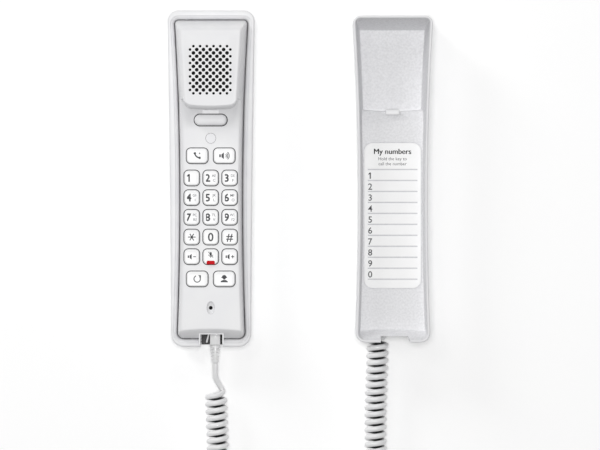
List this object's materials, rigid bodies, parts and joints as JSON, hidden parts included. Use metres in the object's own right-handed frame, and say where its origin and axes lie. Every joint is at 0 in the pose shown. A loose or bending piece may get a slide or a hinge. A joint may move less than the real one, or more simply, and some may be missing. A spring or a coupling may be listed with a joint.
{
  "type": "wall phone",
  "caption": "Slim white wall telephone: handset with a moulded keypad, shallow wall cradle with a number card, and a curly cord between them.",
  "frame": {"origin": "centre of the bounding box of the phone without its cord, on the surface it lies on", "axes": "+Y along both halves towards the earpiece end, +X from the handset to the cradle, +Z out of the keypad and the tray"},
  "size_m": [0.1652, 0.3414, 0.036],
  "materials": {
    "white_abs": "fine satin moulding",
    "key_white": "satin moulded keycaps",
    "printed_card": "smooth printed card",
    "cord_pvc": "soft PVC jacket",
    "silicone": "matte silicone",
    "circuit_board": "solder mask",
    "steel": "zinc plated",
    "red_lens": "clear red polycarbonate",
    "clear_lens": "frosted polycarbonate",
    "felt": "black acoustic felt",
    "black_plastic": "moulded nylon"
  },
  "bodies": {
    "cradle": {"cradle_tray": "white_abs", "back_cover": "white_abs", "number_card": "printed_card", "retaining_tab": "white_abs", "cradle_board": "circuit_board", "line_jack": "black_plastic", "ringer": "black_plastic", "cradle_cord_jack": "black_plastic", "cradle_plug": "cord_pvc", "cradle_screw_1": "steel", "cradle_screw_2": "steel", "cradle_screw_3": "steel", "cradle_screw_4": "steel"},
    "cord": {"curly_cord": "cord_pvc", "handset_lead": "cord_pvc", "cradle_lead": "cord_pvc"},
    "handset": {"rear_shell": "white_abs", "front_shell": "white_abs", "indicator_lens": "clear_lens", "microphone_boot": "silicone", "microphone": "steel", "key_mat": "silicone", "handset_board": "circuit_board", "receiver_felt": "felt", "receiver_speaker": "black_plastic", "balance_weight": "steel", "handset_cord_jack": "black_plastic", "handset_screw_1": "steel", "handset_screw_2": "steel", "handset_plug": "cord_pvc", "plug_boot": "cord_pvc", "hook_switch_contact": "black_plastic"},
    "key_talk": {"key_talk": "key_white"},
    "key_speaker": {"key_speaker": "key_white"},
    "key_1": {"key_1": "key_white"},
    "key_2": {"key_2": "key_white"},
    "key_3": {"key_3": "key_white"},
    "key_4": {"key_4": "key_white"},
    "key_5": {"key_5": "key_white"},
    "key_6": {"key_6": "key_white"},
    "key_7": {"key_7": "key_white"},
    "key_8": {"key_8": "key_white"},
    "key_9": {"key_9": "key_white"},
    "key_star": {"key_star": "key_white"},
    "key_0": {"key_0": "key_white"},
    "key_hash": {"key_hash": "key_white"},
    "key_volume_down": {"key_volume_down": "key_white"},
    "key_mute": {"key_mute": "key_white", "mute_light": "red_lens"},
    "key_volume_up": {"key_volume_up": "key_white"},
    "key_redial": {"key_redial": "key_white"},
    "key_service": {"key_service": "key_white"},
    "hook_switch": {"hook_switch_button": "white_abs"}
  },
  "joints": [
    {"name": "handset_turn", "type": "hinge", "parent": "cradle", "child": "cord", "pos_m": [0.00114, 0, 0.034], "axis": [0, 1, 0], "range_deg": [0, 180], "deforming": ["curly_cord", "handset_lead", "cradle_lead"]},
    {"name": "handset_lift", "type": "slide", "parent": "cord", "child": "handset", "axis": [0, 0, 1], "range_m": [0, 0.0231]},
    {"name": "key_talk_press", "type": "slide", "parent": "handset", "child": "key_talk", "axis": [0, 0, -1], "range_m": [0, 0.0008], "stiffness_N_per_m": 300, "springref_m": -0.0008},
    {"name": "key_speaker_press", "type": "slide", "parent": "handset", "child": "key_speaker", "axis": [0, 0, -1], "range_m": [0, 0.0008], "stiffness_N_per_m": 300, "springref_m": -0.0008},
    {"name": "key_1_press", "type": "slide", "parent": "handset", "child": "key_1", "axis": [0, 0, -1], "range_m": [0, 0.0008], "stiffness_N_per_m": 300, "springref_m": -0.0008, "deforming": ["key_mat"]},
    {"name": "key_2_press", "type": "slide", "parent": "handset", "child": "key_2", "axis": [0, 0, -1], "range_m": [0, 0.0008], "stiffness_N_per_m": 300, "springref_m": -0.0008},
    {"name": "key_3_press", "type": "slide", "parent": "handset", "child": "key_3", "axis": [0, 0, -1], "range_m": [0, 0.0008], "stiffness_N_per_m": 300, "springref_m": -0.0008},
    {"name": "key_4_press", "type": "slide", "parent": "handset", "child": "key_4", "axis": [0, 0, -1], "range_m": [0, 0.0008], "stiffness_N_per_m": 300, "springref_m": -0.0008},
    {"name": "key_5_press", "type": "slide", "parent": "handset", "child": "key_5", "axis": [0, 0, -1], "range_m": [0, 0.0008], "stiffness_N_per_m": 300, "springref_m": -0.0008},
    {"name": "key_6_press", "type": "slide", "parent": "handset", "child": "key_6", "axis": [0, 0, -1], "range_m": [0, 0.0008], "stiffness_N_per_m": 300, "springref_m": -0.0008},
    {"name": "key_7_press", "type": "slide", "parent": "handset", "child": "key_7", "axis": [0, 0, -1], "range_m": [0, 0.0008], "stiffness_N_per_m": 300, "springref_m": -0.0008},
    {"name": "key_8_press", "type": "slide", "parent": "handset", "child": "key_8", "axis": [0, 0, -1], "range_m": [0, 0.0008], "stiffness_N_per_m": 300, "springref_m": -0.0008},
    {"name": "key_9_press", "type": "slide", "parent": "handset", "child": "key_9", "axis": [0, 0, -1], "range_m": [0, 0.0008], "stiffness_N_per_m": 300, "springref_m": -0.0008},
    {"name": "key_star_press", "type": "slide", "parent": "handset", "child": "key_star", "axis": [0, 0, -1], "range_m": [0, 0.0008], "stiffness_N_per_m": 300, "springref_m": -0.0008},
    {"name": "key_0_press", "type": "slide", "parent": "handset", "child": "key_0", "axis": [0, 0, -1], "range_m": [0, 0.0008], "stiffness_N_per_m": 300, "springref_m": -0.0008},
    {"name": "key_hash_press", "type": "slide", "parent": "handset", "child": "key_hash", "axis": [0, 0, -1], "range_m": [0, 0.0008], "stiffness_N_per_m": 300, "springref_m": -0.0008},
    {"name": "key_volume_down_press", "type": "slide", "parent": "handset", "child": "key_volume_down", "axis": [0, 0, -1], "range_m": [0, 0.0008], "stiffness_N_per_m": 300, "springref_m": -0.0008},
    {"name": "key_mute_press", "type": "slide", "parent": "handset", "child": "key_mute", "axis": [0, 0, -1], "range_m": [0, 0.0008], "stiffness_N_per_m": 300, "springref_m": -0.0008},
    {"name": "key_volume_up_press", "type": "slide", "parent": "handset", "child": "key_volume_up", "axis": [0, 0, -1], "range_m": [0, 0.0008], "stiffness_N_per_m": 300, "springref_m": -0.0008},
    {"name": "key_redial_press", "type": "slide", "parent": "handset", "child": "key_redial", "axis": [0, 0, -1], "range_m": [0, 0.0008], "stiffness_N_per_m": 300, "springref_m": -0.0008},
    {"name": "key_service_press", "type": "slide", "parent": "handset", "child": "key_service", "axis": [0, 0, -1], "range_m": [0, 0.0008], "stiffness_N_per_m": 300, "springref_m": -0.0008},
    {"name": "hook_switch_press", "type": "slide", "parent": "handset", "child": "hook_switch", "axis": [0, 0, -1], "range_m": [0, 0.0018], "stiffness_N_per_m": 150, "springref_m": -0.0008}
  ]
}
